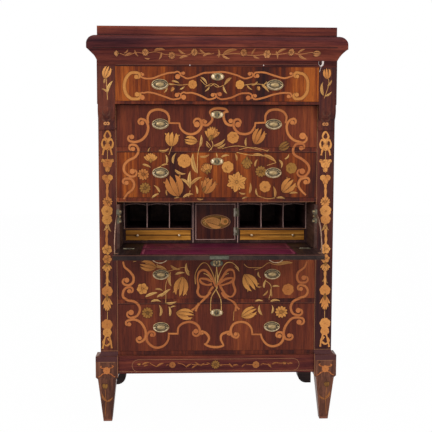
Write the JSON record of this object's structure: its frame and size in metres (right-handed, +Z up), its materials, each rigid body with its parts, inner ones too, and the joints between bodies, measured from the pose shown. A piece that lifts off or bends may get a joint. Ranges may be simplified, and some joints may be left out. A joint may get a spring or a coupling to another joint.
{
  "type": "chiffonier desk",
  "caption": "Tall inlaid chest of drawers on tapered legs with a moulded cornice and a pull-out writing drawer whose front falls open over pigeonholes and a small cupboard.",
  "frame": {"origin": "on the floor, midway between the cornice's two ends and midway between the open fall's edge and the back", "axes": "+X to the right of a person who faces the desk, +Y from front to back, +Z up"},
  "size_m": [0.988, 0.753, 1.5488],
  "materials": {
    "inlaid_wood": "polished",
    "lining_wood": "matte",
    "leather": "worn",
    "brass": "aged"
  },
  "bodies": {
    "carcass": {"side_panel_left": "inlaid_wood", "side_panel_right": "inlaid_wood", "back_panel": "lining_wood", "pilaster_left": "inlaid_wood", "pilaster_right": "inlaid_wood", "frieze_corners": "inlaid_wood", "consoles": "inlaid_wood", "frieze_board": "inlaid_wood", "cornice": "inlaid_wood", "crown": "inlaid_wood", "base_rail": "inlaid_wood", "front_leg_left": "inlaid_wood", "front_leg_right": "inlaid_wood", "rear_feet": "inlaid_wood", "bottom_board": "lining_wood", "dividing_rails": "inlaid_wood", "drawer_runners": "lining_wood"},
    "drawer_1": {"drawer_1_front": "inlaid_wood", "drawer_1_box": "lining_wood", "drawer_1_fittings": "brass"},
    "drawer_1_bail_left": {"drawer_1_bail_left": "brass"},
    "drawer_1_bail_right": {"drawer_1_bail_right": "brass"},
    "drawer_2": {"drawer_2_front": "inlaid_wood", "drawer_2_box": "lining_wood", "drawer_2_fittings": "brass"},
    "drawer_2_bail_left": {"drawer_2_bail_left": "brass"},
    "drawer_2_bail_right": {"drawer_2_bail_right": "brass"},
    "drawer_3": {"drawer_3_front": "inlaid_wood", "drawer_3_box": "lining_wood", "drawer_3_fittings": "brass"},
    "drawer_3_bail_left": {"drawer_3_bail_left": "brass"},
    "drawer_3_bail_right": {"drawer_3_bail_right": "brass"},
    "drawer_5": {"drawer_5_front": "inlaid_wood", "drawer_5_box": "lining_wood", "drawer_5_fittings": "brass"},
    "drawer_5_bail_left": {"drawer_5_bail_left": "brass"},
    "drawer_5_bail_right": {"drawer_5_bail_right": "brass"},
    "drawer_6": {"drawer_6_front": "inlaid_wood", "drawer_6_box": "lining_wood", "drawer_6_fittings": "brass"},
    "drawer_6_bail_left": {"drawer_6_bail_left": "brass"},
    "drawer_6_bail_right": {"drawer_6_bail_right": "brass"},
    "secretaire": {"secretaire_box": "lining_wood", "writing_bed": "inlaid_wood", "bed_leather": "leather", "pigeonhole_case": "inlaid_wood", "pigeonhole_dividers": "lining_wood", "secretaire_fittings": "brass"},
    "fall": {"fall": "inlaid_wood", "fall_leather": "leather", "fall_fittings": "brass", "quadrant_stays": "brass"},
    "fall_bail_left": {"fall_bail_left": "brass"},
    "fall_bail_right": {"fall_bail_right": "brass"},
    "cupboard_door": {"cupboard_door": "inlaid_wood", "cupboard_door_hinges": "brass"},
    "small_drawer_left": {"small_drawer_left": "lining_wood", "small_drawer_knobs_left": "brass"},
    "small_drawer_right": {"small_drawer_right": "lining_wood", "small_drawer_knobs_right": "brass"}
  },
  "joints": [
    {"name": "drawer_1_slide", "type": "slide", "parent": "carcass", "child": "drawer_1", "axis": [0, -1, 0], "range_m": [0, 0.35]},
    {"name": "drawer_1_bail_left_swing", "type": "hinge", "parent": "drawer_1", "child": "drawer_1_bail_left", "pos_m": [-0.22, -0.1948, 1.3318], "axis": [-1, 0, 0], "range_deg": [-8, 110]},
    {"name": "drawer_1_bail_right_swing", "type": "hinge", "parent": "drawer_1", "child": "drawer_1_bail_right", "pos_m": [0.22, -0.1948, 1.3318], "axis": [-1, 0, 0], "range_deg": [-8, 110]},
    {"name": "drawer_2_slide", "type": "slide", "parent": "carcass", "child": "drawer_2", "axis": [0, -1, 0], "range_m": [0, 0.35]},
    {"name": "drawer_2_bail_left_swing", "type": "hinge", "parent": "drawer_2", "child": "drawer_2_bail_left", "pos_m": [-0.22, -0.1648, 1.1828], "axis": [-1, 0, 0], "range_deg": [-8, 110]},
    {"name": "drawer_2_bail_right_swing", "type": "hinge", "parent": "drawer_2", "child": "drawer_2_bail_right", "pos_m": [0.22, -0.1648, 1.1828], "axis": [-1, 0, 0], "range_deg": [-8, 110]},
    {"name": "drawer_3_slide", "type": "slide", "parent": "carcass", "child": "drawer_3", "axis": [0, -1, 0], "range_m": [0, 0.35]},
    {"name": "drawer_3_bail_left_swing", "type": "hinge", "parent": "drawer_3", "child": "drawer_3_bail_left", "pos_m": [-0.22, -0.1648, 0.9943], "axis": [-1, 0, 0], "range_deg": [-8, 110]},
    {"name": "drawer_3_bail_right_swing", "type": "hinge", "parent": "drawer_3", "child": "drawer_3_bail_right", "pos_m": [0.22, -0.1648, 0.9943], "axis": [-1, 0, 0], "range_deg": [-8, 110]},
    {"name": "drawer_5_slide", "type": "slide", "parent": "carcass", "child": "drawer_5", "axis": [0, -1, 0], "range_m": [0, 0.35]},
    {"name": "drawer_5_bail_left_swing", "type": "hinge", "parent": "drawer_5", "child": "drawer_5_bail_left", "pos_m": [-0.22, -0.1648, 0.594], "axis": [-1, 0, 0], "range_deg": [-8, 110]},
    {"name": "drawer_5_bail_right_swing", "type": "hinge", "parent": "drawer_5", "child": "drawer_5_bail_right", "pos_m": [0.22, -0.1648, 0.594], "axis": [-1, 0, 0], "range_deg": [-8, 110]},
    {"name": "drawer_6_slide", "type": "slide", "parent": "carcass", "child": "drawer_6", "axis": [0, -1, 0], "range_m": [0, 0.35]},
    {"name": "drawer_6_bail_left_swing", "type": "hinge", "parent": "drawer_6", "child": "drawer_6_bail_left", "pos_m": [-0.22, -0.1648, 0.383], "axis": [-1, 0, 0], "range_deg": [-8, 110]},
    {"name": "drawer_6_bail_right_swing", "type": "hinge", "parent": "drawer_6", "child": "drawer_6_bail_right", "pos_m": [0.22, -0.1648, 0.383], "axis": [-1, 0, 0], "range_deg": [-8, 110]},
    {"name": "secretaire_slide", "type": "slide", "parent": "carcass", "child": "secretaire", "axis": [0, -1, 0], "range_m": [-0.058, 0.24]},
    {"name": "fall_hinge", "type": "hinge", "parent": "secretaire", "child": "fall", "pos_m": [0, -0.1985, 0.6998], "axis": [-1, 0, 0], "range_deg": [0, 90]},
    {"name": "fall_bail_left_swing", "type": "hinge", "parent": "fall", "child": "fall_bail_left", "pos_m": [-0.22, -0.2825, 0.6755], "axis": [-1, 0, 0], "range_deg": [-98, 20]},
    {"name": "fall_bail_right_swing", "type": "hinge", "parent": "fall", "child": "fall_bail_right", "pos_m": [0.22, -0.2825, 0.6755], "axis": [-1, 0, 0], "range_deg": [-98, 20]},
    {"name": "cupboard_hinge", "type": "hinge", "parent": "secretaire", "child": "cupboard_door", "pos_m": [0.0855, -0.0143, 0.7858], "axis": [0, 0, 1], "range_deg": [0, 95]},
    {"name": "small_drawer_left_slide", "type": "slide", "parent": "secretaire", "child": "small_drawer_left", "axis": [0, -1, 0], "range_m": [0, 0.15]},
    {"name": "small_drawer_right_slide", "type": "slide", "parent": "secretaire", "child": "small_drawer_right", "axis": [0, -1, 0], "range_m": [0, 0.15]}
  ]
}
